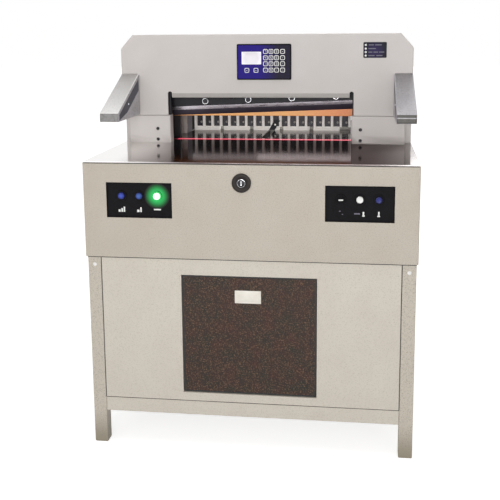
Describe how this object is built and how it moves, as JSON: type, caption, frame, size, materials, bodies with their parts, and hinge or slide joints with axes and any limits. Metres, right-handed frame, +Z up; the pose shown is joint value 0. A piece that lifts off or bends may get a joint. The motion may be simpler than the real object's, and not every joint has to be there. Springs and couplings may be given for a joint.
{
  "type": "hydraulic paper cutter",
  "caption": "Floor-standing guillotine paper cutter: grey cabinet, polished table, hooded swinging knife over a clamp, comb back gauge, keypad and guard arms.",
  "frame": {"origin": "on the floor, under the middle of the machine's box", "axes": "+Z up, the operator's side faces -Y, +X to the operator's right"},
  "size_m": [1.08, 1.336, 1.373],
  "materials": {
    "cabinet_paint": "fine speckled powder coat, warm grey",
    "apron_paint": "fine speckled powder coat, darker warm grey",
    "hood_paint": "fine speckled powder coat, pale warm grey",
    "arm_paint": "satin grey paint",
    "polished_steel": "ground and polished plate",
    "casting": "painted casting",
    "dark_frame": "dark painted casting",
    "pan_steel": "grey primer",
    "door_paint": "wrinkle coat, black brown",
    "bright_steel": "turned and ground",
    "black_oxide": "black oxide screws",
    "stick_red": "moulded bar, lit by the cutting line",
    "window_dark": "infrared window",
    "keypad_film": "printed film",
    "lcd": "lit display",
    "panel_black": "moulded black",
    "button_blue": "moulded cap",
    "button_green": "lit moulded cap",
    "button_white": "moulded cap",
    "lock_chrome": "plated",
    "tank_paint": "grey enamel",
    "motor_paint": "blue grey enamel",
    "pump_metal": "as cast",
    "pipe_steel": "plated tube",
    "motor_black": "black enamel",
    "belt_rubber": "toothed belt",
    "knife_bar_dark": "blackened",
    "blade_steel": "ground blade",
    "clamp_orange": "orange enamel",
    "comb_grey": "pale coated",
    "carriage_grey": "grey enamel"
  },
  "bodies": {
    "frame": {"front_legs": "cabinet_paint", "rear_legs": "cabinet_paint", "bottom_rails": "cabinet_paint", "front_panel": "cabinet_paint", "left_side_panel": "cabinet_paint", "right_side_panel": "cabinet_paint", "rear_panel": "cabinet_paint", "apron": "apron_paint", "hood_shell": "hood_paint", "hood_back_cover": "hood_paint", "left_lower_cover": "hood_paint", "right_lower_cover": "hood_paint", "left_guard_arm": "arm_paint", "right_guard_arm": "arm_paint", "front_table": "polished_steel", "rear_table": "polished_steel", "bed_casting": "casting", "left_side_frame": "dark_frame", "right_side_frame": "dark_frame", "top_beam": "dark_frame", "floor_pan": "pan_steel", "door_pins": "bright_steel", "cover_screws": "black_oxide", "cutting_stick": "stick_red", "guard_windows": "window_dark", "keypad_panel": "keypad_film", "lcd_window": "lcd", "left_button_panel": "panel_black", "right_button_panel": "panel_black", "lock_plate": "panel_black", "oil_tank": "tank_paint", "knife_cylinder": "tank_paint", "clamp_cylinder": "tank_paint", "screw_bearings": "tank_paint", "pump_motor": "motor_paint", "hydraulic_pump": "pump_metal", "valve_block": "pump_metal", "oil_pipes": "pipe_steel", "gauge_motor": "motor_black", "gauge_belt": "belt_rubber"},
    "knife_slider": {"knife_slider": "bright_steel", "knife_rod": "bright_steel"},
    "knife": {"knife_bar": "knife_bar_dark", "knife_blade": "blade_steel", "knife_bolts": "black_oxide", "guide_roller": "bright_steel"},
    "clamp": {"clamp_beam": "clamp_orange", "clamp_yoke": "bright_steel"},
    "gauge": {"gauge_comb": "comb_grey", "gauge_carriage": "carriage_grey"},
    "lead_screw": {"lead_screw": "bright_steel"},
    "motor_pulley": {"motor_pulley": "bright_steel"},
    "left_blue_button": {"left_blue_button": "button_blue"},
    "middle_blue_button": {"middle_blue_button": "button_blue"},
    "green_button": {"green_button": "button_green"},
    "white_button": {"white_button": "button_white"},
    "right_blue_button": {"right_blue_button": "button_blue"},
    "selector_knob": {"selector_knob": "panel_black"},
    "lock_plug": {"lock_plug": "lock_chrome"},
    "access_door": {"access_door": "door_paint"}
  },
  "joints": [
    {"name": "knife_slide", "type": "slide", "parent": "frame", "child": "knife_slider", "axis": [-0.2788, 0, -0.9603], "range_m": [0, 0.12912]},
    {"name": "knife_tilt", "type": "hinge", "parent": "knife_slider", "child": "knife", "pos_m": [0.44284, -0.088, 1.177], "axis": [0, 1, 0], "range_deg": [0, 2.24]},
    {"name": "clamp_slide", "type": "slide", "parent": "frame", "child": "clamp", "axis": [0, 0, -1], "range_m": [0, 0.0905]},
    {"name": "gauge_slide", "type": "slide", "parent": "frame", "child": "gauge", "axis": [0, 1, 0], "range_m": [-0.235, 0.316]},
    {"name": "screw_spin", "type": "hinge", "parent": "frame", "child": "lead_screw", "pos_m": [-0.0175, 0.3, 0.871], "axis": [0, 1, 0], "range_deg": [-4300, 5750]},
    {"name": "motor_spin", "type": "hinge", "parent": "frame", "child": "motor_pulley", "pos_m": [-0.0175, 0.6, 0.776], "axis": [0, 1, 0], "range_deg": [-4300, 5750]},
    {"name": "left_blue_press", "type": "slide", "parent": "frame", "child": "left_blue_button", "axis": [0, 1, 0], "range_m": [0, 0.003], "stiffness_N_per_m": 900, "springref_m": -0.001},
    {"name": "middle_blue_press", "type": "slide", "parent": "frame", "child": "middle_blue_button", "axis": [0, 1, 0], "range_m": [0, 0.003], "stiffness_N_per_m": 900, "springref_m": -0.001},
    {"name": "green_press", "type": "slide", "parent": "frame", "child": "green_button", "axis": [0, 1, 0], "range_m": [0, 0.003], "stiffness_N_per_m": 900, "springref_m": -0.001},
    {"name": "white_press", "type": "slide", "parent": "frame", "child": "white_button", "axis": [0, 1, 0], "range_m": [0, 0.003], "stiffness_N_per_m": 900, "springref_m": -0.001},
    {"name": "right_blue_press", "type": "slide", "parent": "frame", "child": "right_blue_button", "axis": [0, 1, 0], "range_m": [0, 0.003], "stiffness_N_per_m": 900, "springref_m": -0.001},
    {"name": "selector_turn", "type": "hinge", "parent": "frame", "child": "selector_knob", "pos_m": [0.2955, -0.66, 0.861], "axis": [0, -1, 0], "range_deg": [-45, 45]},
    {"name": "lock_turn", "type": "hinge", "parent": "frame", "child": "lock_plug", "pos_m": [-0.019, -0.66, 0.909], "axis": [0, -1, 0], "range_deg": [-90, 0]},
    {"name": "door_swing", "type": "hinge", "parent": "frame", "child": "access_door", "pos_m": [-0.2115, -0.6445, 0.397], "axis": [0, 0, -1], "range_deg": [0, 105]}
  ],
  "couplings": [
    {"joint": "knife_tilt", "follows": "knife_slide", "rad_per_m": 0.30143},
    {"joint": "screw_spin", "follows": "gauge_slide", "rad_per_m": 314.16},
    {"joint": "motor_spin", "follows": "gauge_slide", "rad_per_m": 314.16}
  ]
}
